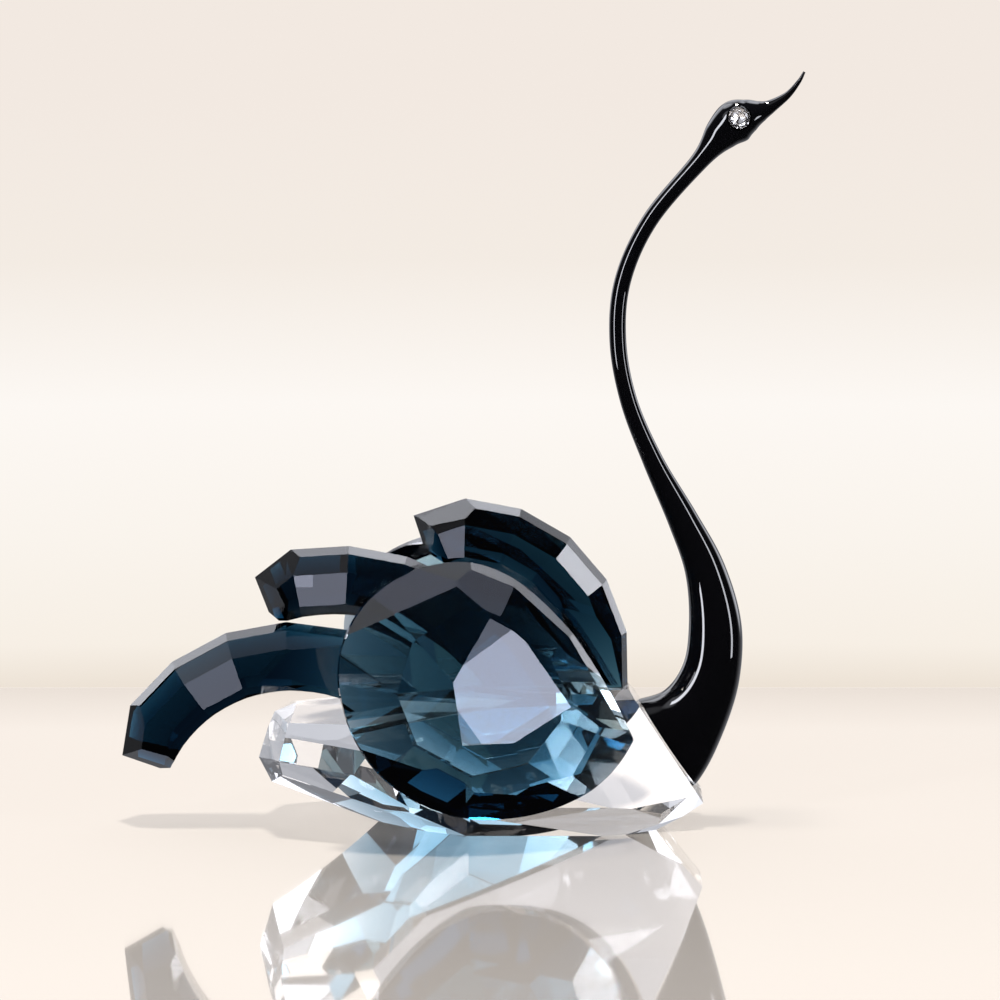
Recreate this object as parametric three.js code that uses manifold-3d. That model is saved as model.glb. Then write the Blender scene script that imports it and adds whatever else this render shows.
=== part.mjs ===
// A crystal swan: a clear faceted body, two tinted discs as folded wings, three tinted curved
// feathers standing between them, and a neck and head drawn from black glass with a stone in each eye.
// Millimetres, +X the way the swan looks, +Z up. The origin is the centre of the flat underside.
import * as THREE from "three";
import { ConvexGeometry } from "three/addons/geometries/ConvexGeometry.js";
import { mergeVertices } from "three/addons/utils/BufferGeometryUtils.js";
import Module from "manifold-3d";

const wasm = await Module();
wasm.setup();

// Room for the clear glue between two pieces that touch.
const glueGap = 0.3;

// Body: a boat hull cut with flat facets, the same on both sides of its mid-plane.
const bodyTopHeight = 25.6;
const bodyTopSlopeStart = -8;
const bodyTailSlopeDeg = 5.6;
const tailRoofTiltDeg = 10.3;
const frontTopHalfWidth = 2.8;
const shoulderDeg = 59;
const baseHalfWidth = 11.6;
const hullSideDeg = 42;
const frontFaceFoot = { x: 36.3, z: 5 };
const frontFaceLeanDeg = 33.5;
const chinRiseDeg = 30;
const bodyRoughLength = 130;
const bodyRoughWidth = 60;

// The side faces lean in towards the top and towards the front, and carry the wings.
const sideFaceHalfWidth = 15.4;
const sideLeanDeg = 12.2;
const sideToeDeg = 12.2;

// The tail's outline in the mid-plane, from its roof down to the keel.
const tailRoofDrop = 3;
const tailBrowDrop = 4.7;
const tailCheekDrop = 7.8;
const tailProfile = [
  { x: -38.6, z: bodyTopHeight - tailRoofDrop },
  { x: -42.7, z: bodyTopHeight - tailBrowDrop },
  { x: -44.0, z: bodyTopHeight - tailCheekDrop },
  { x: -45.7, z: 12.2 },
  { x: -43.1, z: 7.1 },
  { x: -38.2, z: 4.4 },
  { x: -26.5, z: 0 },
];
// How far the pair of flats on each edge of that outline turns aside.
const tailTiltsDeg = [8, 16, 14, 20, 20, 0];

// Tail sides: each flat is named by the way it faces and one point on it.
const tailSideFlats = [
  { aroundDeg: 19, upDeg: 31, x: -35, y: 13.3, z: 17.4 },
  { aroundDeg: 26, upDeg: -40, x: -28.8, y: 17.9, z: 12.8 },
  { aroundDeg: 42, upDeg: -60, x: -34.5, y: 5.6, z: 6.6 },
  { aroundDeg: 26, upDeg: -58, x: -25.5, y: 8.8, z: 3.4 },
];
// Chin sides: the same for the hull's front lower corners.
const chinSideFlats = [
  { aroundDeg: -34, upDeg: -52, x: 27.6, y: 6.8, z: 0 },
  { aroundDeg: -14, upDeg: -46, x: 21, y: 11.1, z: 0 },
];

// Wings: one lens-shaped disc on each side, its outline a smooth oval with a blunt front tip.
const wingBack = 3.9;
const wingRise = 2.9;
const wingCentre = { x: -wingBack, z: bodyTopHeight + wingRise };
const wingOuterDepth = 7.6;
const wingInnerDepth = 6.2;
const wingGirdle = 1.6;
const wingOutlineSteps = 18;
const wingTop = { x: -4.4, y: 23.4 };
const wingLeft = { x: -26.8, y: 3.4 };
const wingBottom = { x: 0.7, y: -23.6 };
const wingTip = { x: 27.0, y: -10.4 };
const wingShoulder = 11.6;
const wingBelly = 15.2;
const wingTipUnder = { x: 4.5, y: 9 };
const wingTipOver = { x: 3, y: 9 };
const wingBackCurve = 16;

// Outer face: a flat table and a ring of flats that fall away from its edges.
const wingTableFlats = [
  { aroundDeg: 147, tiltDeg: 12, out: 7.0 },
  { aroundDeg: 186, tiltDeg: 21, out: 7.1 },
  { aroundDeg: 270, tiltDeg: 17, out: 9.8 },
  { aroundDeg: 299, tiltDeg: 16, out: 10.2 },
  { aroundDeg: 33, tiltDeg: 15, out: 9.9 },
  { aroundDeg: 60, tiltDeg: 14, out: 11.1 },
  { aroundDeg: 73, tiltDeg: 17, out: 13.1 },
];
// Steeper flats rise from the girdle all round.
const wingRimFlats = [
  { aroundDeg: 96, tiltDeg: 52 },
  { aroundDeg: 121, tiltDeg: 37 },
  { aroundDeg: 142, tiltDeg: 36 },
  { aroundDeg: 168, tiltDeg: 34 },
  { aroundDeg: 193, tiltDeg: 31 },
  { aroundDeg: 218, tiltDeg: 34 },
  { aroundDeg: 243, tiltDeg: 36 },
  { aroundDeg: 266, tiltDeg: 40 },
  { aroundDeg: 288, tiltDeg: 37 },
  { aroundDeg: 316, tiltDeg: 32 },
];
// The back edge has a bevel in two rows.
const wingBevelTurns = [66, 46, 28];
const wingBevelInnerTiltDeg = 33;
const wingBevelOuterTiltDeg = 52;
const wingBevelWidth = 1.9;
// Inner face: a flat that lies on the body, and evenly spaced flats down to the girdle.
const wingInnerFlatRadius = 13.5;
const wingInnerFlatCount = 9;

// Feathers: slices of a faceted ring that stand in the mid-plane on top of the body. Each ring's centre
// is some way behind the origin, and above or below the body's top.
const featherDepth = 12;
const featherSection = [
  { drop: 0, half: 0 },
  { drop: 1.0, half: 2.7 },
  { drop: 4.0, half: 5.1 },
  { drop: 9.7, half: 5.9 },
  { drop: 14.2, half: 2.6 },
];
const featherTipTiltDeg = 34;
// A flat on each flank makes the feather thinner towards its root. It starts at full width, at a turn of
// the ring, and runs the way that flankRunDeg gives, which is measured in the mid-plane from +X upwards.
const flankHalfWidth = 5.9;
const flankRadiusShare = 0.8;
const flankToeDeg = 9;
const undersideSteps = 72;
const feathers = {
  feather_top: {
    centreBack: 8,
    centreRise: 4.4,
    ridgeRadius: 30.8,
    firstRidgeDeg: 89,
    ridgeStepDeg: 19.5,
    ridges: 7,
    tipDeg: 108,
    tipCorner: 29.5,
    heelRadius: 22,
    heelDeg: 94,
    flankDeg: 33,
    flankRunDeg: -62,
    onTail: false,
  },
  feather_middle: {
    centreBack: 31.5,
    centreRise: -17.8,
    ridgeRadius: 44.2,
    firstRidgeDeg: 100.5,
    ridgeStepDeg: 14,
    ridges: 7,
    tipDeg: 111,
    tipCorner: 41.0,
    heelRadius: 34,
    heelDeg: 108.5,
    flankDeg: 74,
    flankRunDeg: -20,
    onTail: false,
  },
  feather_lower: {
    centreBack: 39.5,
    centreRise: -24.2,
    ridgeRadius: 36.3,
    firstRidgeDeg: 145.5,
    ridgeStepDeg: 18,
    ridges: 8,
    tipDeg: 160.5,
    tipCorner: 33.4,
    heelRadius: 26,
    heelDeg: 158,
    flankDeg: 101,
    flankRunDeg: -12,
    onTail: true,
  },
};

// Neck and head: oval sections along a bent line, from the breast up to the tip of the beak. Each has
// its place, its half height in the mid-plane and its half width across it, all in hundredths of the
// height of the beak's tip.
const neckHeight = 139.2;
const headHalfWidth = 2.44;
const neckStations = [
  { x: 15.45, z: 7.11, high: 8.33, wide: 3.74 },
  { x: 20.98, z: 10.85, high: 7.04, wide: 3.66 },
  { x: 24.93, z: 15.09, high: 4.85, wide: 3.52 },
  { x: 27.23, z: 20.47, high: 3.88, wide: 3.30 },
  { x: 27.66, z: 26.94, high: 3.48, wide: 3.09 },
  { x: 26.29, z: 34.12, high: 2.69, wide: 2.59 },
  { x: 23.35, z: 40.80, high: 2.03, wide: 2.01 },
  { x: 19.32, z: 48.78, high: 1.38, wide: 1.38 },
  { x: 16.09, z: 56.82, high: 1.14, wide: 1.14 },
  { x: 14.66, z: 64.80, high: 1.11, wide: 1.11 },
  { x: 15.30, z: 72.70, high: 1.10, wide: 1.10 },
  { x: 18.82, z: 80.60, high: 1.08, wide: 1.08 },
  { x: 25.29, z: 88.43, high: 1.24, wide: 1.22 },
  { x: 28.02, z: 91.82, high: 2.30, wide: 2.01 },
  { x: 29.93, z: 93.50, high: 2.86, wide: headHalfWidth },
  { x: 31.74, z: 94.38, high: 2.16, wide: 2.08 },
  { x: 33.25, z: 94.93, high: 1.36, wide: 1.36 },
  { x: 34.55, z: 95.55, high: 0.86, wide: 0.86 },
  { x: 36.64, z: 96.98, high: 0.47, wide: 0.47 },
  { x: 38.07, z: 98.71, high: 0.29, wide: 0.29 },
  { x: 38.79, z: 100.00, high: 0.16, wide: 0.16 },
];
const neckRings = 84;
const neckSides = 20;

// Eyes: a round cut stone in a shallow socket on each side of the head, its girdle a little below
// the head's widest point.
const neckUnit = neckHeight / 100;
const eyePlace = { x: 30.28 * neckUnit, z: 94.22 * neckUnit };
const eyeRadius = 2.0;
const eyeInset = 0.3;
const eyeStandOut = headHalfWidth * neckUnit - eyeInset;
const eyeTableShare = 0.55;
const eyeCrown = 0.6;
const eyeGirdle = 0.25;
const eyePavilion = 0.9;
const eyeFacets = 8;
const eyeClearance = 0.3;
const socketSides = 24;
const eyeBoreLength = 10;

const reach = 200;
const radians = THREE.MathUtils.degToRad;
const UP = new THREE.Vector3(0, 0, 1);

// A three.js geometry as a solid that can be joined and cut.
function solidOf(geometry) {
  const plain = geometry.clone();
  plain.deleteAttribute("normal");
  plain.deleteAttribute("uv");
  const merged = mergeVertices(plain, 1e-4);
  return new wasm.Manifold(
    new wasm.Mesh({
      numProp: 3,
      vertProperties: new Float32Array(merged.attributes.position.array),
      triVerts: new Uint32Array(merged.index.array),
    }),
  );
}

// The solid as a named mesh.
function meshOf(name, solid, material) {
  const cut = solid.getMesh();
  const geometry = new THREE.BufferGeometry();
  geometry.setAttribute("position", new THREE.BufferAttribute(new Float32Array(cut.vertProperties), 3));
  geometry.setIndex(new THREE.BufferAttribute(new Uint32Array(cut.triVerts), 1));
  geometry.computeVertexNormals();
  const mesh = new THREE.Mesh(geometry, material);
  mesh.name = name;
  return mesh;
}

// All that lies beyond a plane.
function beyond(point, outward) {
  const waste = new THREE.BoxGeometry(2 * reach, 2 * reach, reach);
  waste.translate(0, 0, reach / 2);
  waste.applyQuaternion(new THREE.Quaternion().setFromUnitVectors(UP, outward.clone().normalize()));
  waste.translate(point.x, point.y, point.z);
  return solidOf(waste);
}

// Grinds one flat on a solid.
function grind(solid, point, outward) {
  return solid.subtract(beyond(point, outward));
}

// The same flat on the side y < 0 and, mirrored, on the side y > 0.
function grindPair(solid, point, outward) {
  const mirror = new THREE.Vector3(1, -1, 1);
  const near = grind(solid, point, outward);
  return grind(near, point.clone().multiply(mirror), outward.clone().multiply(mirror));
}

// A pair of flats that meet in the mid-plane along the edge from a to b, each turned aside by tiltDeg.
// The edge's outer side is on the left of the way from a to b, seen with +X to the right.
function grindProfileEdge(solid, a, b, tiltDeg) {
  const length = Math.hypot(b.x - a.x, b.z - a.z);
  const tilt = radians(tiltDeg);
  const across = Math.cos(tilt) / length;
  const outward = new THREE.Vector3(-(b.z - a.z) * across, -Math.sin(tilt), (b.x - a.x) * across);
  return grindPair(solid, new THREE.Vector3(a.x, 0, a.z), outward);
}

// A direction on the near side: aroundDeg turns it from the side towards the tail, upDeg raises it.
function sideways(aroundDeg, upDeg) {
  const around = radians(aroundDeg);
  const up = radians(upDeg);
  return new THREE.Vector3(-Math.sin(around) * Math.cos(up), -Math.cos(around) * Math.cos(up), Math.sin(up));
}

// The way the body's near side face looks, which is also the wing's own outward direction.
const sideOutward = new THREE.Vector3(
  Math.tan(radians(sideToeDeg)),
  -1,
  Math.tan(radians(sideLeanDeg)),
).normalize();
const sidePoint = new THREE.Vector3(0, -sideFaceHalfWidth, 0);

// The front face, to which the neck is glued, leans back from its lower edge.
const frontOutward = new THREE.Vector3(
  Math.cos(radians(frontFaceLeanDeg)),
  0,
  Math.sin(radians(frontFaceLeanDeg)),
);
const frontPoint = new THREE.Vector3(frontFaceFoot.x, 0, frontFaceFoot.z);

// The two flats of the body's top: level in front, falling gently towards the tail.
const topPoint = new THREE.Vector3(bodyTopSlopeStart, 0, bodyTopHeight);
const tailTopOutward = new THREE.Vector3(
  -Math.sin(radians(bodyTailSlopeDeg)),
  0,
  Math.cos(radians(bodyTailSlopeDeg)),
);

function makeBody() {
  const rough = new THREE.BoxGeometry(bodyRoughLength, bodyRoughWidth, bodyTopHeight);
  rough.translate(0, 0, bodyTopHeight / 2);
  let body = solidOf(rough);
  body = grindPair(body, sidePoint, sideOutward);
  body = grind(body, topPoint, tailTopOutward);
  body = grind(body, frontPoint, frontOutward);
  const chin = radians(chinRiseDeg);
  body = grind(body, frontPoint, new THREE.Vector3(Math.sin(chin), 0, -Math.cos(chin)));
  const frontTopX = frontFaceFoot.x - (bodyTopHeight - frontFaceFoot.z) * Math.tan(radians(frontFaceLeanDeg));
  const shoulder = new THREE.Vector3(frontTopX, -frontTopHalfWidth, bodyTopHeight);
  body = grindPair(body, shoulder, sideways(-sideToeDeg, shoulderDeg));
  body = grindPair(body, new THREE.Vector3(0, -baseHalfWidth, 0), sideways(0, -hullSideDeg));
  for (const flat of [...tailSideFlats, ...chinSideFlats]) {
    body = grindPair(body, new THREE.Vector3(flat.x, -flat.y, flat.z), sideways(flat.aroundDeg, flat.upDeg));
  }
  for (let i = 0; i + 1 < tailProfile.length; i++) {
    body = grindProfileEdge(body, tailProfile[i + 1], tailProfile[i], tailTiltsDeg[i]);
  }
  const roof = radians(tailRoofTiltDeg);
  const roofOutward = tailTopOutward.clone().multiplyScalar(Math.cos(roof));
  roofOutward.y = -Math.sin(roof);
  return grindPair(body, new THREE.Vector3(tailProfile[0].x, 0, tailProfile[0].z), roofOutward);
}

// The wing's outline in its own plane, x forwards and y up.
function wingShape() {
  const shape = new THREE.Shape();
  shape.moveTo(wingTop.x, wingTop.y);
  shape.bezierCurveTo(
    wingTop.x - wingShoulder, wingTop.y,
    wingLeft.x, wingLeft.y + wingShoulder,
    wingLeft.x, wingLeft.y,
  );
  shape.bezierCurveTo(
    wingLeft.x, wingLeft.y - wingBelly,
    wingBottom.x - wingBelly, wingBottom.y,
    wingBottom.x, wingBottom.y,
  );
  shape.bezierCurveTo(
    wingBottom.x + wingShoulder, wingBottom.y,
    wingTip.x - wingTipUnder.x, wingTip.y - wingTipUnder.y,
    wingTip.x, wingTip.y,
  );
  shape.bezierCurveTo(
    wingTip.x - wingTipOver.x, wingTip.y + wingTipOver.y,
    wingTop.x + wingBackCurve, wingTop.y,
    wingTop.x, wingTop.y,
  );
  return shape;
}

// A flat on the wing's face: it faces aroundDeg round the disc, leans back by tiltDeg and passes
// through the point at that angle, the given distance out and at the given height.
function grindDisc(wing, aroundDeg, tiltDeg, out, height) {
  const around = radians(aroundDeg);
  const tilt = radians(tiltDeg);
  const radial = new THREE.Vector3(Math.cos(around), Math.sin(around), 0);
  const outward = radial.clone().multiplyScalar(Math.sin(tilt));
  outward.z = Math.cos(tilt) * Math.sign(height);
  return grind(wing, radial.multiplyScalar(out).setZ(height), outward);
}

// One wing, lying in its own plane with its outer face up.
function makeWing() {
  const shape = wingShape();
  const blank = new THREE.ExtrudeGeometry(shape, {
    depth: wingOuterDepth + wingInnerDepth,
    bevelEnabled: false,
    curveSegments: wingOutlineSteps,
  });
  blank.translate(0, 0, -wingInnerDepth);
  let wing = solidOf(blank);

  // How far the outline reaches in a direction round the disc.
  const outline = shape.getPoints(wingOutlineSteps);
  const reachAt = (aroundDeg) => {
    const around = radians(aroundDeg);
    return Math.max(...outline.map((point) => point.x * Math.cos(around) + point.y * Math.sin(around)));
  };

  const girdle = wingGirdle / 2;
  for (const { aroundDeg, tiltDeg, out } of wingTableFlats) {
    wing = grindDisc(wing, aroundDeg, tiltDeg, out, wingOuterDepth);
  }
  for (const { aroundDeg, tiltDeg } of wingRimFlats) {
    wing = grindDisc(wing, aroundDeg, tiltDeg, reachAt(aroundDeg), girdle);
  }
  const bevelRise = wingBevelWidth * Math.tan(radians(wingBevelOuterTiltDeg));
  for (const aroundDeg of wingBevelTurns) {
    const edge = reachAt(aroundDeg);
    wing = grindDisc(wing, aroundDeg, wingBevelOuterTiltDeg, edge, girdle);
    wing = grindDisc(wing, aroundDeg, wingBevelInnerTiltDeg, edge - wingBevelWidth, girdle + bevelRise);
  }
  for (let i = 0; i < wingInnerFlatCount; i++) {
    const aroundDeg = (360 * i) / wingInnerFlatCount;
    const fall = Math.atan2(wingInnerDepth - girdle, reachAt(aroundDeg) - wingInnerFlatRadius);
    wing = grindDisc(wing, aroundDeg, THREE.MathUtils.radToDeg(fall), wingInnerFlatRadius, -wingInnerDepth);
  }
  return wing;
}

// Stands a wing on the body's near side face: its inner face lies on the face, a glue gap off.
function placeWing(geometry) {
  const up = UP.clone().addScaledVector(sideOutward, -sideOutward.z).normalize();
  const along = new THREE.Vector3().crossVectors(up, sideOutward);
  const centre = new THREE.Vector3(wingCentre.x, 0, wingCentre.z);
  const offFace = sideOutward.dot(sidePoint) + glueGap + wingInnerDepth;
  centre.y = (offFace - centre.dot(sideOutward)) / sideOutward.y;
  geometry.applyMatrix4(new THREE.Matrix4().makeBasis(along, up, sideOutward).setPosition(centre));
  return geometry;
}

// A point of a feather's ring: a turn about the centre, a radius and a distance from the mid-plane.
function ringPoint(feather, deg, radius, y) {
  const turn = radians(deg);
  return new THREE.Vector3(
    Math.cos(turn) * radius - feather.centreBack,
    y,
    bodyTopHeight + feather.centreRise + Math.sin(turn) * radius,
  );
}

// The corners of a feather's section at one turn of its ring, down the far side and up the near side.
function featherRing(feather, deg) {
  const slant = Math.cos(radians(feather.ridgeStepDeg / 2));
  const corner = (side) => ({ drop, half }) =>
    ringPoint(feather, deg, feather.ridgeRadius - drop / slant, side * half);
  const below = featherSection.slice(1);
  const ridge = ringPoint(feather, deg, feather.ridgeRadius, 0);
  return [ridge, ...below.map(corner(1)), ...below.reverse().map(corner(-1))];
}

function makeFeather(feather) {
  const { firstRidgeDeg, ridgeStepDeg, ridges, tipDeg } = feather;
  const turns = [firstRidgeDeg + 2 * ridgeStepDeg];
  for (let i = 0; i <= ridges; i++) {
    turns.push(firstRidgeDeg - i * ridgeStepDeg);
  }
  let ring = solidOf(loft(turns.map((deg) => featherRing(feather, deg))));

  // The smooth underside is a round bore about the ring's centre.
  const innerRadius = feather.ridgeRadius - featherDepth;
  const bore = new THREE.CylinderGeometry(innerRadius, innerRadius, bodyRoughWidth, undersideSteps);
  bore.translate(-feather.centreBack, 0, bodyTopHeight + feather.centreRise);
  ring = ring.subtract(solidOf(bore));

  // The tip ends in three pairs of flats: a chamfer, the end and a heel.
  const firstRidge = ringPoint(feather, firstRidgeDeg, feather.ridgeRadius, 0);
  const corner = ringPoint(feather, tipDeg, feather.tipCorner, 0);
  const heel = ringPoint(feather, tipDeg, feather.heelRadius, 0);
  const heelEnd = ringPoint(feather, feather.heelDeg, innerRadius, 0);
  ring = grindProfileEdge(ring, corner, firstRidge, featherTipTiltDeg);
  ring = grindProfileEdge(ring, heel, corner, featherTipTiltDeg);
  const heelOutward = new THREE.Vector3(heelEnd.z - heel.z, 0, heel.x - heelEnd.x);
  const tipward = ringPoint(feather, feather.heelDeg + 90, 1, 0).sub(ringPoint(feather, 0, 0, 0));
  ring = ring.subtract(beyond(heel, heelOutward).intersect(beyond(heelEnd, tipward)));

  const flankRadius = feather.ridgeRadius * flankRadiusShare;
  const flankStart = ringPoint(feather, feather.flankDeg, flankRadius, -flankHalfWidth);
  const run = radians(feather.flankRunDeg);
  const toe = Math.sin(radians(flankToeDeg));
  const aside = Math.cos(radians(flankToeDeg));
  const flankOutward = new THREE.Vector3(Math.cos(run) * toe, -aside, Math.sin(run) * toe);
  ring = grindPair(ring, flankStart, flankOutward);

  // The root stands on the body's top.
  const middle = ringPoint(feather, 0, 0, 0);
  const seat = topPoint.clone().setZ(topPoint.z + glueGap);
  const seatDown = feather.onTail ? tailTopOutward.clone().negate() : new THREE.Vector3(0, 0, -1);
  return ring.subtract(beyond(seat, seatDown).intersect(beyond(middle, new THREE.Vector3(1, 0, 0))));
}

// The oval section of the neck at a share of its length.
function neckRing(line, widths, share) {
  const at = line.getPoint(share);
  const along = line.getTangent(share).setY(0).normalize();
  const across = new THREE.Vector3(-along.z, 0, along.x);
  const high = at.y;
  const wide = widths.getPoint(share).y;
  const corners = [];
  for (let i = 0; i < neckSides; i++) {
    const turn = (2 * Math.PI * i) / neckSides;
    const corner = new THREE.Vector3(at.x, Math.sin(turn) * wide, at.z);
    corners.push(corner.addScaledVector(across, Math.cos(turn) * high));
  }
  return corners;
}

// A closed skin over rings that all have the same number of corners.
function loft(rings) {
  const sides = rings[0].length;
  const positions = rings.flat().flatMap((corner) => [corner.x, corner.y, corner.z]);
  const faces = [];
  for (let i = 0; i + 1 < rings.length; i++) {
    for (let j = 0; j < sides; j++) {
      const a = i * sides + j;
      const b = i * sides + ((j + 1) % sides);
      faces.push(a, a + sides, b, b, a + sides, b + sides);
    }
  }
  const last = (rings.length - 1) * sides;
  for (let j = 1; j + 1 < sides; j++) {
    faces.push(0, j, j + 1);
    faces.push(last, last + j + 1, last + j);
  }
  const geometry = new THREE.BufferGeometry();
  geometry.setAttribute("position", new THREE.Float32BufferAttribute(positions, 3));
  geometry.setIndex(faces);
  return geometry;
}

// A cylinder across the head at the eye, from one height above the mid-plane outwards.
function eyeBore(side, radius, from) {
  const bore = new THREE.CylinderGeometry(radius, radius, eyeBoreLength, socketSides);
  bore.translate(eyePlace.x, side * (from + eyeBoreLength / 2), eyePlace.z);
  return solidOf(bore);
}

function makeNeck() {
  // The curves' y carries the half height or half width, so that it changes as smoothly as the line bends.
  const smooth = (size) =>
    new THREE.CatmullRomCurve3(
      neckStations.map((at) => new THREE.Vector3(at.x, at[size], at.z).multiplyScalar(neckUnit)),
      false,
      "catmullrom",
    );
  const line = smooth("high");
  const widths = smooth("wide");
  const rings = [];
  for (let i = 0; i <= neckRings; i++) {
    rings.push(neckRing(line, widths, i / neckRings));
  }
  let neck = solidOf(loft(rings));
  const glueLine = frontPoint.clone().addScaledVector(frontOutward, glueGap);
  neck = grind(neck, glueLine, frontOutward.clone().negate());
  const seat = eyeStandOut - eyeGirdle - eyePavilion - eyeClearance;
  for (const side of [-1, 1]) {
    neck = neck.subtract(eyeBore(side, eyeRadius + eyeClearance, seat));
  }
  return neck;
}

// A round stone: a table, a crown and a girdle, with a cut-off pavilion behind.
function makeEye(side) {
  const corners = [];
  const ring = (radius, height, count) => {
    for (let i = 0; i < count; i++) {
      const turn = (2 * Math.PI * (i + 0.5)) / count;
      corners.push(
        new THREE.Vector3(
          eyePlace.x + Math.cos(turn) * radius,
          side * height,
          eyePlace.z + Math.sin(turn) * radius,
        ),
      );
    }
  };
  ring(eyeRadius * eyeTableShare, eyeStandOut + eyeCrown, eyeFacets);
  ring(eyeRadius, eyeStandOut, 2 * eyeFacets);
  ring(eyeRadius, eyeStandOut - eyeGirdle, 2 * eyeFacets);
  ring(eyeRadius * eyeTableShare, eyeStandOut - eyeGirdle - eyePavilion, eyeFacets);
  return solidOf(new ConvexGeometry(corners));
}

function clearCrystal() {
  return new THREE.MeshStandardMaterial({
    color: 0xf2f6f8,
    roughness: 0.02,
    metalness: 0,
    transparent: true,
    opacity: 0.35,
    flatShading: true,
  });
}

function smokyCrystal() {
  return new THREE.MeshStandardMaterial({
    color: 0x1d3a4c,
    roughness: 0.02,
    metalness: 0,
    transparent: true,
    opacity: 0.8,
    flatShading: true,
  });
}

function blackGlass() {
  return new THREE.MeshStandardMaterial({ color: 0x060608, roughness: 0.04, metalness: 0 });
}

const swan = new THREE.Group();
swan.add(meshOf("body", makeBody(), clearCrystal()));
const wing = solidOf(placeWing(meshOf("wing", makeWing(), smokyCrystal()).geometry));
swan.add(meshOf("wing_right", wing, smokyCrystal()));
swan.add(meshOf("wing_left", wing.mirror([0, 1, 0]), smokyCrystal()));
for (const [name, feather] of Object.entries(feathers)) {
  swan.add(meshOf(name, makeFeather(feather), smokyCrystal()));
}
swan.add(meshOf("neck", makeNeck(), blackGlass()));
swan.add(meshOf("eye_right", makeEye(-1), clearCrystal()));
swan.add(meshOf("eye_left", makeEye(1), clearCrystal()));

export default swan;
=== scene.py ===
import math

import bmesh
import bpy
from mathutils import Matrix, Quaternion, Vector
from mathutils.bvhtree import BVHTree


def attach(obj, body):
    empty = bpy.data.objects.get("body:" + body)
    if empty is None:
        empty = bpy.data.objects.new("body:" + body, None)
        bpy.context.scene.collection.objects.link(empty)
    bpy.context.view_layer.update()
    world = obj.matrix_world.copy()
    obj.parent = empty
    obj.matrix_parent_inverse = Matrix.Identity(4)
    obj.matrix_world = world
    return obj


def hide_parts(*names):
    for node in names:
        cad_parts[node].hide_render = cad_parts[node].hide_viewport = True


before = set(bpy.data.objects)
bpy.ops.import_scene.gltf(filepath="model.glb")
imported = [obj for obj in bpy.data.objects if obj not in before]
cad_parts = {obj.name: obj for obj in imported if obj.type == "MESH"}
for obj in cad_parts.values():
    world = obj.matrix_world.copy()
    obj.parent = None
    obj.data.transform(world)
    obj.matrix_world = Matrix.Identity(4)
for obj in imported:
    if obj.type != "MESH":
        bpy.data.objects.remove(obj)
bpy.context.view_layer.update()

# Cut stones: corners closer than the weld are one, and faces within the flat angle are one facet. The
# faces of a hull made from its corners alone join up to a wider angle.
WELD = 0.00004
FLAT = math.radians(0.35)
HULL_FLAT = math.radians(1)
CRYSTAL_IOR = 1.56

# The profile that makes a bevelled edge a round one.
ROUND_PROFILE = 0.5

# Smoky stones: how strongly each takes the tint, per metre of glass.
SMOKE_TINT = (0.02, 0.34, 0.46)
SMOKY_STONES = {
    "wing_right": 150,
    "wing_left": 150,
    "feather_top": 520,
    "feather_middle": 700,
    "feather_lower": 640,
}

# The round underside of each feather: the centre and radius of its bore.
BORES = {
    "feather_top": {"x": -0.0080, "z": 0.0300, "radius": 0.0188},
    "feather_middle": {"x": -0.0315, "z": 0.0078, "radius": 0.0322},
    "feather_lower": {"x": -0.0395, "z": 0.0014, "radius": 0.0243},
}
BORE_TOLERANCE = 0.00003

# Neck and head: place, half height and half width of each section, in hundredths of the beak's height.
NECK_UNIT = 0.001392
NECK_STATIONS = [
    (15.45, 7.11, 8.33, 3.74),
    (20.98, 10.85, 7.04, 3.66),
    (24.93, 15.09, 4.85, 3.52),
    (27.23, 20.47, 3.88, 3.30),
    (27.66, 26.94, 3.48, 3.09),
    (26.29, 34.12, 2.69, 2.59),
    (23.35, 40.80, 2.03, 2.01),
    (19.32, 48.78, 1.38, 1.38),
    (16.09, 56.82, 1.14, 1.14),
    (14.66, 64.80, 1.11, 1.11),
    (15.30, 72.70, 1.10, 1.10),
    (18.82, 80.60, 1.08, 1.08),
    (25.29, 88.43, 1.24, 1.22),
    (28.02, 91.82, 2.30, 2.01),
    (29.93, 93.50, 2.86, 2.44),
    (31.74, 94.38, 2.16, 2.08),
    (33.25, 94.93, 1.36, 1.36),
    (34.55, 95.55, 0.86, 0.86),
    (36.64, 96.98, 0.47, 0.47),
    (38.07, 98.71, 0.29, 0.29),
    (38.79, 100.00, 0.16, 0.16),
]
RINGS_PER_STATION = 12
NECK_SIDES = 64
NECK_CREASE = math.radians(35)
NECK_WELD = WELD / 10
BLACK_TONE = (0.0015, 0.0015, 0.002)
BLACK_ROUGHNESS = 0.03
BLACK_IOR = 1.52

# The body's front face, to which the neck is glued.
FRONT_FOOT = Vector((0.0363, 0, 0.005))
FRONT_LEAN = math.radians(33.5)

# Glue: the clear film that joins each piece to a flat of the body. It reaches a hair into both, so that
# no air shows between them, and stays a hair inside the body's outline.
GLUE_GAP = 0.0003
GLUE_BITE = 0.00006
GLUE_MARGIN = 0.00004
GLUE_IOR = 1.5
PARALLEL = 0.99999

# Eyes: a foil-backed stone in a round socket on each side of the head. The foil covers the faces whose
# outward part falls below a small backward lean.
EYE_X = 30.28 * NECK_UNIT
EYE_Z = 94.22 * NECK_UNIT
EYE_RADIUS = 0.002
EYE_STAND_OUT = 0.0031
EYE_CROWN = 0.0006
EYE_GIRDLE = 0.00025
EYE_PAVILION = 0.0009
EYE_CLEARANCE = 0.0003
EYE_FACETS = 8
FOIL_TONE = (0.85, 0.85, 0.86)
FOIL_ROUGHNESS = 0.08
FOIL_LEAN = -0.2

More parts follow.
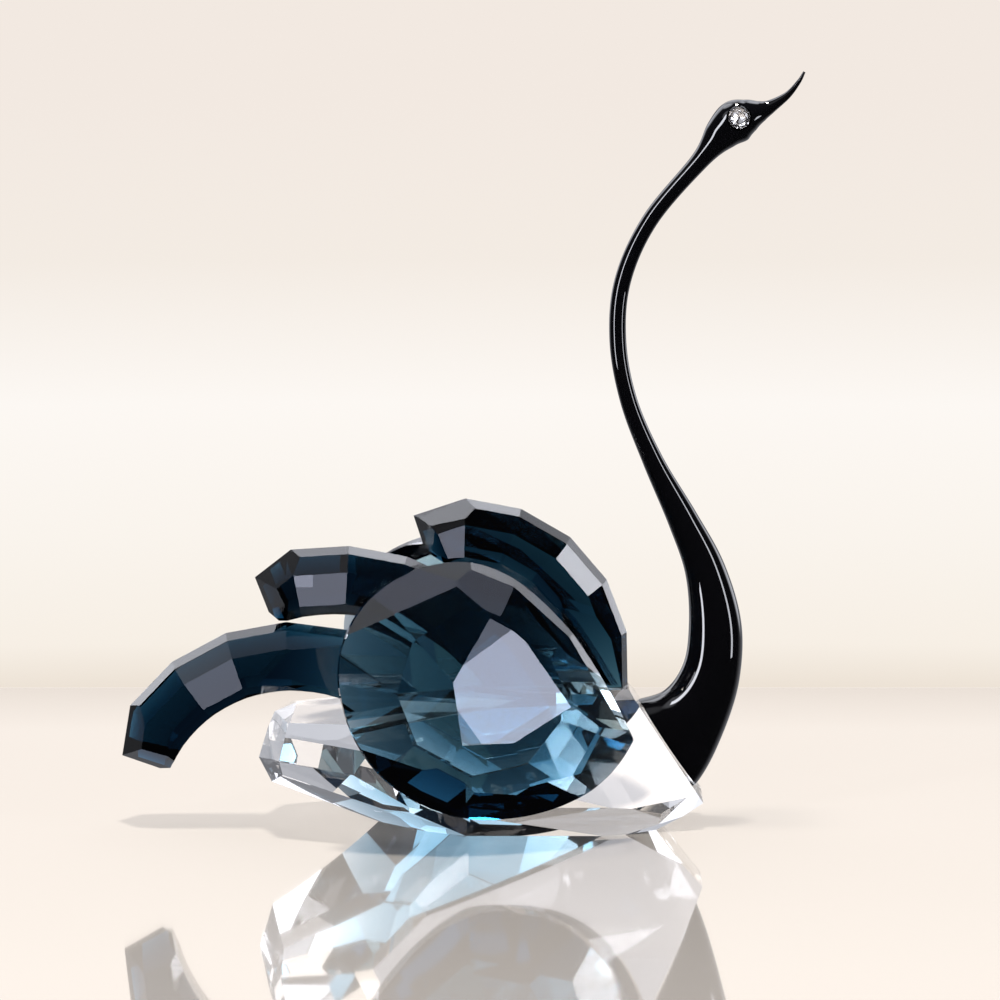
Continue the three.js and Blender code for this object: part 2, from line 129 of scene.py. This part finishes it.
# The brilliant cut, in shares of the eye's radius and of the height of its crown and pavilion.
EYE_TABLE_SHARE = 0.55
EYE_CROWN_BREAK = (0.80, 0.62)
EYE_PAVILION_BREAK = (0.55, 0.72)
EYE_CULET_SHARE = 0.12

# The sockets are the eyes' size with the clearance all round, and have an edge rounded by the torch.
SOCKET_RADIUS = EYE_RADIUS + EYE_CLEARANCE
SOCKET_SEAT = EYE_STAND_OUT - EYE_GIRDLE - EYE_PAVILION - EYE_CLEARANCE
SOCKET_SIDES = 96
SOCKET_LENGTH = 0.004
SOCKET_EDGE = 0.00026
SOCKET_EDGE_STEPS = 4
SOCKET_LEVEL = 4 * WELD

# Table: its top is the floor under the swan, and it ends a hand's breadth behind. A painted shade
# makes its tone darker from a little way before its back edge.
TABLE_FRONT = -1.6
TABLE_BACK = 0.125
TABLE_HALF_LENGTH = 1.6
TABLE_THICKNESS = 0.03
TABLE_EDGE_ROUND = 0.006
TABLE_EDGE_STEPS = 5
TABLE_TONE = (0.45, 0.42, 0.386)
TABLE_SHADED_BACK_TONE = (0.26, 0.225, 0.19)
TABLE_SHADE_FROM = 0.08
TABLE_PEARL = 0.35
TABLE_ROUGHNESS = 0.05
TABLE_IOR = 1.5
TABLE_COAT_ROUGHNESS = 0.02

# Camera: a metre away and a little above, like the photograph's.
CAMERA_AIM = Vector((-0.0011, 0, 0.0605))
CAMERA_DISTANCE = 1.0
CAMERA_RISE = math.radians(10)
CAMERA_LENS = 196.2
CAMERA_SENSOR = 36
CAMERA_NEAREST = 0.01
PHOTO_SIZE = 1000

# Studio: a dim room with soft round lights far away. Each is set by the way it stands in (azimuth 0 is
# towards the camera, 90 towards +X), how wide it is to its edge and to the end of its glow, and its
# brightness.
ROOM_GREY = (0.022, 0.022, 0.026)
COOL_WHITE = (0.90, 0.92, 1.0)
WARM_WHITE = (1.0, 0.95, 0.89)
LILAC = (0.76, 0.80, 1.0)
SOFT_LIGHTS = {
    "back": {"azimuth": 180, "rise": 32, "edge": 12, "glow": 26, "brightness": 1.6},
    "back_high_right": {"azimuth": 150, "rise": 56, "edge": 8, "glow": 17, "brightness": 4.6},
    "back_high_left": {"azimuth": -158, "rise": 56, "edge": 8, "glow": 18, "brightness": 1.9},
    "high_left": {"azimuth": -120, "rise": 58, "edge": 8, "glow": 17, "brightness": 4.5},
    "back_left": {"azimuth": -132, "rise": 32, "edge": 11, "glow": 22, "brightness": 3.2},
    "back_right": {"azimuth": 146, "rise": 24, "edge": 8, "glow": 18, "brightness": 1.6},
    "high_right": {"azimuth": 120, "rise": 46, "edge": 6, "glow": 16, "brightness": 1.6},
    "low_left": {"azimuth": -138, "rise": 4, "edge": 8, "glow": 18, "brightness": 1.6},
    "low_right": {"azimuth": 126, "rise": 6, "edge": 7, "glow": 16, "brightness": 3.2},
    "front_left": {"azimuth": -52, "rise": 37, "edge": 10, "glow": 16, "brightness": 1.3},
    "around_back": {"azimuth": 180, "rise": -8, "edge": 45, "glow": 80, "brightness": 0.5},
    "front_top": {"azimuth": -15, "rise": 56, "edge": 14, "glow": 20, "brightness": 0.5},
}

# Backdrop: the lit wall that the camera looks into. Its places are parts of an arrow of length one from
# the swan: it begins where the arrow's +Y part passes the turn, and ends in a soft edge on each side, above
# and below. Its tones go up the wall, each at the arrow's Z part.
BACKDROP_TURN = 0.5
BACKDROP_TURN_SOFTNESS = 0.5
BACKDROP_HALF_WIDTH = 0.20
BACKDROP_HALF_HEIGHT = 0.34
BACKDROP_SOFTNESS = 0.05
BACKDROP_TONES = [
    (-0.30, (0.80, 0.72, 0.63)),
    (-0.208, (0.83, 0.745, 0.65)),
    (-0.199, (0.93, 0.865, 0.785)),
    (-0.180, (0.955, 0.905, 0.845)),
    (-0.156, (0.98, 0.94, 0.90)),
    (-0.130, (0.90, 0.835, 0.77)),
    (-0.10, (0.89, 0.815, 0.755)),
    (0.0, (0.88, 0.81, 0.75)),
]

# The overhead light, small enough to leave crisp shadows under the swan.
OVERHEAD_RISE = 89
OVERHEAD_SIZE = (0.10, 0.10)
OVERHEAD_BRIGHTNESS = 640.0
OVERHEAD_DISTANCE = 0.9

# Two upright strips, which draw the long bright lines on the neck.
STRIP_DISTANCE = 0.9
STRIP_RISE = 12
STRIPS = {
    "strip_left": {"azimuth": -47, "brightness": 18.0, "size": (0.15, 0.9)},
    "strip_right": {"azimuth": 67, "brightness": 12.0, "size": (0.13, 0.9)},
}

# Cards that light up single facets, as a photographer's cards do: the pixel of the facet in the
# photograph, and the card's brightness, width and height. One stands nearer than the rest, and turned by
# some degrees.
CARD_DISTANCE = 0.8
FACET_CARDS = {
    "table_card": {"pixel": (509, 690), "brightness": 2.8, "size": (0.060, 0.070)},
    "bright_card": {
        "pixel": (542, 700), "brightness": 7.0, "size": (0.046, 0.046), "nearer": 0.1, "turn": 31,
    },
    "shoulder_card": {"pixel": (413, 588), "brightness": 1.8, "size": (0.045, 0.045)},
    "back_card": {"pixel": (486, 592), "brightness": 1.2, "size": (0.045, 0.045)},
    "lower_card": {"pixel": (215, 685), "brightness": 2.8, "size": (0.026, 0.030)},
    "middle_card": {"pixel": (321, 590), "brightness": 3.4, "size": (0.024, 0.028)},
    "top_card": {"pixel": (462, 546), "brightness": 3.4, "size": (0.022, 0.024)},
}


def link(obj):
    """Puts a new object into the scene."""
    bpy.context.scene.collection.objects.link(obj)
    return obj


def node(tree, kind, **values):
    """A new shader node with its input sockets set by name."""
    made = tree.nodes.new(kind)
    for name, value in values.items():
        made.inputs[name.replace("_", " ")].default_value = value
    return made


def principled(name):
    """A new material and its Principled shader."""
    material = bpy.data.materials.new(name)
    material.use_nodes = True
    return material, material.node_tree.nodes["Principled BSDF"]


def clear_glass(name, ior):
    """Colourless glass, polished clear."""
    material, shader = principled(name)
    shader.inputs["Base Color"].default_value = (1, 1, 1, 1)
    shader.inputs["Roughness"].default_value = 0.0
    shader.inputs["IOR"].default_value = ior
    shader.inputs["Transmission Weight"].default_value = 1.0
    return material


def smoky_crystal(name, density):
    """Dark blue-grey crystal that turns teal where it is thin."""
    material = clear_glass(name, CRYSTAL_IOR)
    tree = material.node_tree
    tint = tree.nodes.new("ShaderNodeVolumeAbsorption")
    tint.inputs["Color"].default_value = (*SMOKE_TINT, 1)
    tint.inputs["Density"].default_value = density
    tree.links.new(tint.outputs["Volume"], tree.nodes["Material Output"].inputs["Volume"])
    return material


def black_glass():
    """Fire polished glass, so dark that only its reflections show."""
    material, shader = principled("black_glass")
    shader.inputs["Base Color"].default_value = (*BLACK_TONE, 1)
    shader.inputs["Roughness"].default_value = BLACK_ROUGHNESS
    shader.inputs["IOR"].default_value = BLACK_IOR
    return material


def foil():
    """The silvery backing of the eye stones."""
    material, shader = principled("foil")
    shader.inputs["Base Color"].default_value = (*FOIL_TONE, 1)
    shader.inputs["Metallic"].default_value = 1.0
    shader.inputs["Roughness"].default_value = FOIL_ROUGHNESS
    return material


def table_top():
    """Pale pearly lacquer with a deep gloss, and a painted shade that darkens it towards its back edge."""
    material, shader = principled("table_top")
    tree = material.node_tree
    place = node(tree, "ShaderNodeTexCoord")
    parts = node(tree, "ShaderNodeSeparateXYZ")
    tree.links.new(place.outputs["Object"], parts.inputs["Vector"])
    # Painted shade: the tone darkens over the last stretch before the table's back edge.
    back_shade = node(tree, "ShaderNodeMapRange", From_Min=TABLE_SHADE_FROM, From_Max=TABLE_BACK)
    tree.links.new(parts.outputs["Y"], back_shade.inputs["Value"])
    tone = ramp(tree, back_shade.outputs["Result"], [(0, TABLE_TONE), (1, TABLE_SHADED_BACK_TONE)])
    tree.links.new(tone, shader.inputs["Base Color"])
    shader.inputs["Metallic"].default_value = TABLE_PEARL
    shader.inputs["Roughness"].default_value = TABLE_ROUGHNESS
    shader.inputs["IOR"].default_value = TABLE_IOR
    shader.inputs["Coat Weight"].default_value = 1.0
    shader.inputs["Coat Roughness"].default_value = TABLE_COAT_ROUGHNESS
    return material


def on_bore(face, bore):
    """True if the face lies on a feather's round underside."""
    return all(
        abs(math.hypot(v.co.x - bore["x"], v.co.z - bore["z"]) - bore["radius"]) < BORE_TOLERANCE
        for v in face.verts
    )


def cut_stone(name, material):
    """A node's solid with each flat as one facet, and a feather's underside round."""
    mesh = bmesh.new()
    mesh.from_mesh(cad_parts[name].data)
    bmesh.ops.remove_doubles(mesh, verts=mesh.verts, dist=WELD)
    bmesh.ops.dissolve_limit(mesh, angle_limit=FLAT, verts=mesh.verts, edges=mesh.edges)
    for face in mesh.faces:
        face.smooth = name in BORES and on_bore(face, BORES[name])
    for edge in mesh.edges:
        edge.smooth = all(face.smooth for face in edge.link_faces)
    data = bpy.data.meshes.new(name + "_stone")
    mesh.to_mesh(data)
    mesh.free()
    if "custom_normal" in data.attributes:
        data.attributes.remove(data.attributes["custom_normal"])
    data.materials.clear()
    data.materials.append(material)
    stone = link(bpy.data.objects.new(name + "_stone", data))
    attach(stone, "root")
    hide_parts(name)
    return stone


def spline(values, at):
    """A value of the smooth curve through the stations, at a place counted in stations."""
    last = len(values) - 1
    i = min(int(at), last - 1)
    t = at - i
    b, c = values[i], values[i + 1]
    a = values[i - 1] if i > 0 else 2 * b - c
    d = values[i + 2] if i + 2 <= last else 2 * c - b
    return 0.5 * (2 * b + (c - a) * t + (2 * a - 5 * b + 4 * c - d) * t**2 + (3 * b - 3 * c + d - a) * t**3)


def neck_rings():
    """The oval sections of the neck, from the breast to the tip of the beak."""
    columns = [[station[k] * NECK_UNIT for station in NECK_STATIONS] for k in range(4)]
    count = (len(NECK_STATIONS) - 1) * RINGS_PER_STATION
    step = 1 / RINGS_PER_STATION
    rings = []
    for i in range(count + 1):
        at = i * step
        x, z, high, wide = (spline(column, at) for column in columns)
        before = max(at - step / 4, 0)
        after = min(at + step / 4, len(NECK_STATIONS) - 1)
        along_x = spline(columns[0], after) - spline(columns[0], before)
        along_z = spline(columns[1], after) - spline(columns[1], before)
        length = math.hypot(along_x, along_z)
        rings.append(ring(x, z, -along_z / length, along_x / length, high, wide))
    return rings


def ring(x, z, across_x, across_z, high, wide):
    """The corners of one oval section."""
    corners = []
    for k in range(NECK_SIDES):
        turn = 2 * math.pi * k / NECK_SIDES
        out = math.cos(turn) * high
        corners.append(Vector((x + out * across_x, math.sin(turn) * wide, z + out * across_z)))
    return corners


def lofted(name, rings):
    """A closed mesh over rings of corners."""
    sides = len(rings[0])
    places = [corner for one in rings for corner in one]
    faces = []
    for i in range(len(rings) - 1):
        for k in range(sides):
            a = i * sides + k
            b = i * sides + (k + 1) % sides
            faces.append((a, a + sides, b + sides, b))
    last = (len(rings) - 1) * sides
    faces.append(tuple(range(sides)))
    faces.append(tuple(last + sides - 1 - k for k in range(sides)))
    data = bpy.data.meshes.new(name)
    data.from_pydata(places, [], faces)
    return data


def hull(corners):
    """A closed mesh stretched round some corners, with each flat as one face."""
    mesh = bmesh.new()
    for corner in corners:
        mesh.verts.new(corner)
    bmesh.ops.convex_hull(mesh, input=mesh.verts)
    bmesh.ops.dissolve_limit(mesh, angle_limit=HULL_FLAT, verts=mesh.verts, edges=mesh.edges)
    return mesh


def circle(radius, y, count, shift=0.0, winding=1):
    """Corners spread evenly round the eyes' axis, at one distance from the mid-plane."""
    corners = []
    for k in range(count):
        turn = 2 * math.pi * (k + shift) / count * winding
        corners.append(Vector((EYE_X + math.cos(turn) * radius, y, EYE_Z + math.sin(turn) * radius)))
    return corners


def socket_cutter(side):
    """A round bar that cuts the eye's socket on one side of the head."""
    rings = [
        circle(SOCKET_RADIUS, side * y, SOCKET_SIDES, winding=side)
        for y in (SOCKET_SEAT, SOCKET_SEAT + SOCKET_LENGTH)
    ]
    return link(bpy.data.objects.new("socket_cutter", lofted("socket_cutter", rings)))


def on_socket_rim(vert):
    """True for a corner where a socket's wall leaves the head."""
    from_axis = math.hypot(vert.co.x - EYE_X, vert.co.z - EYE_Z)
    return abs(from_axis - SOCKET_RADIUS) < WELD and abs(vert.co.y) > SOCKET_SEAT + WELD


def soften_socket(mesh):
    """Rounds the edge where each socket leaves the head, as the torch does."""
    rim = []
    for edge in mesh.edges:
        first, second = edge.verts
        level = abs(first.co.y - second.co.y) < SOCKET_LEVEL
        if level and on_socket_rim(first) and on_socket_rim(second):
            rim.append(edge)
    bmesh.ops.bevel(
        mesh,
        geom=rim,
        offset=SOCKET_EDGE,
        segments=SOCKET_EDGE_STEPS,
        profile=ROUND_PROFILE,
        affect="EDGES",
        clamp_overlap=True,
    )


def make_neck(material):
    """Neck, head and beak in one smooth piece, cut flat where it meets the body."""
    draft = link(bpy.data.objects.new("neck_glass", lofted("neck_draft", neck_rings())))
    cutters = [socket_cutter(side) for side in (-1, 1)]
    for cutter in cutters:
        cut = draft.modifiers.new("socket", "BOOLEAN")
        cut.object = cutter
        cut.operation = "DIFFERENCE"
        cut.solver = "EXACT"
    data = bpy.data.meshes.new_from_object(draft.evaluated_get(bpy.context.evaluated_depsgraph_get()))
    draft.modifiers.clear()
    for cutter in cutters:
        bpy.data.objects.remove(cutter)

    mesh = bmesh.new()
    mesh.from_mesh(data)
    outward = Vector((math.cos(FRONT_LEAN), 0, math.sin(FRONT_LEAN)))
    clip(mesh, FRONT_FOOT + outward * GLUE_GAP, -outward)
    bmesh.ops.remove_doubles(mesh, verts=mesh.verts, dist=NECK_WELD)
    soften_socket(mesh)
    bmesh.ops.recalc_face_normals(mesh, faces=mesh.faces)
    for face in mesh.faces:
        face.smooth = True
    for edge in mesh.edges:
        edge.smooth = len(edge.link_faces) == 2 and edge.calc_face_angle() < NECK_CREASE
    mesh.to_mesh(data)
    mesh.free()
    data.materials.append(material)
    draft.data = data
    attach(draft, "root")
    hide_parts("neck")
    return draft


def eye_corners(side):
    """The corners of a brilliant cut: table, crown, girdle and pavilion."""
    girdle_back = EYE_STAND_OUT - EYE_GIRDLE
    crown_share, crown_rise = EYE_CROWN_BREAK
    pavilion_share, pavilion_drop = EYE_PAVILION_BREAK
    rows = [
        (EYE_TABLE_SHARE, EYE_STAND_OUT + EYE_CROWN, EYE_FACETS, 0.5),
        (crown_share, EYE_STAND_OUT + EYE_CROWN * crown_rise, EYE_FACETS, 0.0),
        (1.0, EYE_STAND_OUT, 2 * EYE_FACETS, 0.5),
        (1.0, girdle_back, 2 * EYE_FACETS, 0.5),
        (pavilion_share, girdle_back - EYE_PAVILION * pavilion_drop, EYE_FACETS, 0.0),
        (EYE_CULET_SHARE, girdle_back - EYE_PAVILION, EYE_FACETS, 0.5),
    ]
    corners = []
    for share, y, count, shift in rows:
        corners += circle(EYE_RADIUS * share, side * y, count, shift)
    return corners


def make_eye(name, side, stone, backing):
    """One cut stone: clear in front, silvered behind."""
    mesh = hull(eye_corners(side))
    bmesh.ops.recalc_face_normals(mesh, faces=mesh.faces)
    for face in mesh.faces:
        face.material_index = 1 if side * face.normal.y < FOIL_LEAN else 0
    data = bpy.data.meshes.new(name + "_stone")
    mesh.to_mesh(data)
    mesh.free()
    data.materials.append(stone)
    data.materials.append(backing)
    eye = link(bpy.data.objects.new(name + "_stone", data))
    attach(eye, "root")
    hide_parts(name)


def clip(mesh, place, outward):
    """Cuts off all of a closed mesh beyond a plane and closes the cut."""
    everything = mesh.verts[:] + mesh.edges[:] + mesh.faces[:]
    cut = bmesh.ops.bisect_plane(mesh, geom=everything, plane_co=place, plane_no=outward, clear_outer=True)
    seam = [part for part in cut["geom_cut"] if isinstance(part, bmesh.types.BMEdge)]
    if seam:
        bmesh.ops.contextual_create(mesh, geom=seam)


def glue_film(corners, flat, others):
    """A film between the corners of a piece's foot and a flat of the body."""
    place, normal = flat
    film = bmesh.new()
    top = [film.verts.new(corner + normal * GLUE_BITE) for corner in corners]
    bottom = [film.verts.new(corner - normal * (GLUE_GAP + GLUE_BITE)) for corner in corners]
    film.faces.new(top)
    film.faces.new(bottom)
    for i, corner in enumerate(top):
        film.faces.new((top[i - 1], corner, bottom[i], bottom[i - 1]))
    for other_place, other_normal in others:
        clip(film, other_place - other_normal * GLUE_MARGIN, other_normal)
    bmesh.ops.recalc_face_normals(film, faces=film.faces)
    return film


def make_glue(piece, body, material):
    """Glues each foot of a piece to the flat of the body that it stands on."""
    flats = [(face.center.copy(), face.normal.copy()) for face in body.data.polygons]
    for face in piece.data.polygons:
        for flat in flats:
            place, normal = flat
            gap = (face.center - place).dot(normal)
            if face.normal.dot(normal) > -PARALLEL or abs(gap - GLUE_GAP) > GLUE_MARGIN:
                continue
            corners = [piece.data.vertices[i].co for i in face.vertices]
            film = glue_film(corners, flat, [other for other in flats if other is not flat])
            if film.faces:
                add_glue(piece.name.replace("_stone", "") + "_glue", film, material)
            film.free()


def add_glue(name, film, material):
    """Puts one glue film into the scene."""
    data = bpy.data.meshes.new(name)
    film.to_mesh(data)
    data.materials.append(material)
    glue = link(bpy.data.objects.new(name, data))
    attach(glue, "root")


def make_table(material):
    """The table top, with its back edge rounded over."""
    corners = [
        (x, y, z)
        for x in (-TABLE_HALF_LENGTH, TABLE_HALF_LENGTH)
        for y in (TABLE_FRONT, TABLE_BACK)
        for z in (-TABLE_THICKNESS, 0)
    ]
    mesh = hull(corners)
    bmesh.ops.bevel(
        mesh,
        geom=mesh.edges[:],
        offset=TABLE_EDGE_ROUND,
        segments=TABLE_EDGE_STEPS,
        profile=ROUND_PROFILE,
        affect="EDGES",
    )
    for face in mesh.faces:
        face.smooth = True
    data = bpy.data.meshes.new("table")
    mesh.to_mesh(data)
    mesh.free()
    data.materials.append(material)
    table = link(bpy.data.objects.new("table", data))
    # The black and smoky glass shows no sheen of the table, as with the dark flags of a studio.
    table.visible_glossy = False


def panel(name, size, brightness, aim, away, distance, colour=COOL_WHITE):
    """A soft panel some distance away from the point that it faces."""
    light = bpy.data.lights.new(name, "AREA")
    light.shape = "RECTANGLE"
    light.size, light.size_y = size
    light.energy = brightness * math.pi * size[0] * size[1]
    light.color = colour
    made = link(bpy.data.objects.new(name, light))
    made.location = aim + away * distance
    made.rotation_mode = "QUATERNION"
    made.rotation_quaternion = away.to_track_quat("Z", "Y")
    made.visible_camera = False
    return made


def compass(azimuth_deg, rise_deg):
    """A direction as seen from the swan. Azimuth 0 is towards the camera, and 90 towards +X."""
    azimuth = math.radians(azimuth_deg)
    rise = math.radians(rise_deg)
    return Vector((math.sin(azimuth) * math.cos(rise), -math.cos(azimuth) * math.cos(rise), math.sin(rise)))


def set_strips():
    """The two strips, which stand upright on either side of the camera."""
    for name, strip in STRIPS.items():
        away = compass(strip["azimuth"], STRIP_RISE)
        panel(name, strip["size"], strip["brightness"], CAMERA_AIM, away, STRIP_DISTANCE)


def set_facet_cards(camera, stones):
    """Sets each card where the camera sees it mirrored in its facet. Only the stones given catch them."""
    catchers = bpy.data.collections.new("card_catchers")
    trees = []
    for stone in stones:
        catchers.objects.link(stone)
        places = [vertex.co for vertex in stone.data.vertices]
        trees.append(BVHTree.FromPolygons(places, [face.vertices for face in stone.data.polygons]))
    focal = CAMERA_LENS / CAMERA_SENSOR * PHOTO_SIZE
    for name, card in FACET_CARDS.items():
        x, y = card["pixel"]
        sight = Vector((x - PHOTO_SIZE / 2, PHOTO_SIZE / 2 - y, -focal)).normalized()
        sight = camera.rotation_quaternion @ sight
        hits = [tree.ray_cast(camera.location, sight) for tree in trees]
        place, normal, _, _ = min((hit for hit in hits if hit[0]), key=lambda hit: hit[3])
        away = sight.reflect(normal)
        distance = CARD_DISTANCE - card.get("nearer", 0)
        made = panel(name, card["size"], card["brightness"], place, away, distance, LILAC)
        made.rotation_quaternion @= Quaternion((0, 0, 1), math.radians(card.get("turn", 0)))
        made.light_linking.receiver_collection = catchers


def ramp(tree, value, stops):
    """A colour ramp over a value, from places and colours."""
    made = tree.nodes.new("ShaderNodeValToRGB")
    elements = made.color_ramp.elements
    while len(elements) < len(stops):
        elements.new(0.5)
    for element, (place, colour) in zip(elements, stops):
        element.position = place
        element.color = (*colour, 1)
    tree.links.new(value, made.inputs["Fac"])
    return made.outputs["Color"]


def vector_math(tree, operation, first, second):
    """The result of one step of vector arithmetic on two sockets."""
    made = tree.nodes.new("ShaderNodeVectorMath")
    made.operation = operation
    tree.links.new(first, made.inputs[0])
    tree.links.new(second, made.inputs["Scale" if operation == "SCALE" else 1])
    return made.outputs["Vector"]


def scaled(tree, colour, factor):
    """A colour made brighter or darker."""
    return vector_math(tree, "SCALE", colour, factor)


def added(tree, first, second):
    """The sum of two colours."""
    return vector_math(tree, "ADD", first, second)


def glow(tree, direction, light):
    """1 inside a round light's edge, falling to 0 at the end of its glow."""
    towards = tree.nodes.new("ShaderNodeVectorMath")
    towards.operation = "DOT_PRODUCT"
    tree.links.new(direction, towards.inputs[0])
    towards.inputs[1].default_value = compass(light["azimuth"], light["rise"])
    end = math.cos(math.radians(light["glow"]))
    edge = math.cos(math.radians(light["edge"]))
    fall = node(tree, "ShaderNodeMapRange", From_Min=end, From_Max=edge)
    fall.interpolation_type = "SMOOTHSTEP"
    tree.links.new(towards.outputs["Value"], fall.inputs["Value"])
    return fall.outputs["Result"]


def soft_step(tree, value, at, width, rising=True):
    """0 on one side of a value and 1 on the other, with a soft change."""
    low, high = (0.0, 1.0) if rising else (1.0, 0.0)
    start = at - width / 2
    end = at + width / 2
    step = node(tree, "ShaderNodeMapRange", From_Min=start, From_Max=end, To_Min=low, To_Max=high)
    step.interpolation_type = "SMOOTHSTEP"
    tree.links.new(value, step.inputs["Value"])
    return step.outputs["Result"]


def make_backdrop(tree, direction):
    """The tones of the lit wall behind the swan, and a mask that is 1 on the wall."""
    parts = node(tree, "ShaderNodeSeparateXYZ")
    tree.links.new(direction, parts.inputs["Vector"])
    low = BACKDROP_TONES[0][0]
    high = BACKDROP_TONES[-1][0]
    height = node(tree, "ShaderNodeMapRange", From_Min=low, From_Max=high, To_Min=0.0, To_Max=1.0)
    tree.links.new(parts.outputs["Z"], height.inputs["Value"])
    stops = [((at - low) / (high - low), tone) for at, tone in BACKDROP_TONES]
    wall = ramp(tree, height.outputs["Result"], stops)
    mask = soft_step(tree, parts.outputs["Y"], BACKDROP_TURN, BACKDROP_TURN_SOFTNESS)
    for axis, half in (("X", BACKDROP_HALF_WIDTH), ("Z", BACKDROP_HALF_HEIGHT)):
        size = tree.nodes.new("ShaderNodeMath")
        size.operation = "ABSOLUTE"
        tree.links.new(parts.outputs[axis], size.inputs[0])
        inside = soft_step(tree, size.outputs["Value"], half, BACKDROP_SOFTNESS, rising=False)
        both = tree.nodes.new("ShaderNodeMath")
        both.operation = "MULTIPLY"
        tree.links.new(mask, both.inputs[0])
        tree.links.new(inside, both.inputs[1])
        mask = both.outputs["Value"]
    return wall, mask


def make_world():
    """A dim room with its soft lights, and the cream backdrop behind the swan."""
    world = bpy.data.worlds.new("studio")
    bpy.context.scene.world = world
    world.use_nodes = True
    tree = world.node_tree
    place = node(tree, "ShaderNodeTexCoord")
    direction = place.outputs["Generated"]
    room = tree.nodes.new("ShaderNodeRGB")
    room.outputs["Color"].default_value = (*ROOM_GREY, 1)
    total = room.outputs["Color"]
    for light in SOFT_LIGHTS.values():
        white = tree.nodes.new("ShaderNodeRGB")
        white.outputs["Color"].default_value = (*(light["brightness"] * part for part in COOL_WHITE), 1)
        total = added(tree, total, scaled(tree, white.outputs["Color"], glow(tree, direction, light)))
    wall, mask = make_backdrop(tree, direction)
    # The soft lights fade out where the wall is.
    beside_wall = soft_step(tree, mask, 0.5, 1.0, rising=False)
    total = added(tree, scaled(tree, total, beside_wall), scaled(tree, wall, mask))
    tree.links.new(total, tree.nodes["Background"].inputs["Color"])


def make_camera():
    """The camera at the photograph's viewing angle."""
    data = bpy.data.cameras.new("camera")
    data.lens = CAMERA_LENS
    data.sensor_width = CAMERA_SENSOR
    data.clip_start = CAMERA_NEAREST
    camera = link(bpy.data.objects.new("camera", data))
    back = Vector((0, -math.cos(CAMERA_RISE), math.sin(CAMERA_RISE)))
    camera.location = CAMERA_AIM + back * CAMERA_DISTANCE
    camera.rotation_mode = "QUATERNION"
    camera.rotation_quaternion = back.to_track_quat("Z", "Y")
    bpy.context.scene.camera = camera
    return camera


def set_up_light_paths():
    """Enough bounces for light to find its way through several stones."""
    scene = bpy.context.scene
    scene.view_settings.view_transform = "Standard"
    scene.cycles.max_bounces = 24
    scene.cycles.transmission_bounces = 24
    scene.cycles.glossy_bounces = 12
    scene.cycles.diffuse_bounces = 3
    scene.cycles.sample_clamp_indirect = 10


set_up_light_paths()
make_world()
above = compass(0, OVERHEAD_RISE)
panel("overhead", OVERHEAD_SIZE, OVERHEAD_BRIGHTNESS, CAMERA_AIM, above, OVERHEAD_DISTANCE, WARM_WHITE)
set_strips()

body = cut_stone("body", clear_glass("clear_crystal", CRYSTAL_IOR))
smoky_stones = [
    cut_stone(stone_name, smoky_crystal("smoky_" + stone_name, density))
    for stone_name, density in SMOKY_STONES.items()
]
neck = make_neck(black_glass())
glue = clear_glass("clear_glue", GLUE_IOR)
for piece in [*smoky_stones, neck]:
    make_glue(piece, body, glue)
eye_stone = clear_glass("eye_stone", CRYSTAL_IOR)
silver = foil()
make_eye("eye_right", -1, eye_stone, silver)
make_eye("eye_left", 1, eye_stone, silver)
make_table(table_top())
set_facet_cards(make_camera(), smoky_stones)
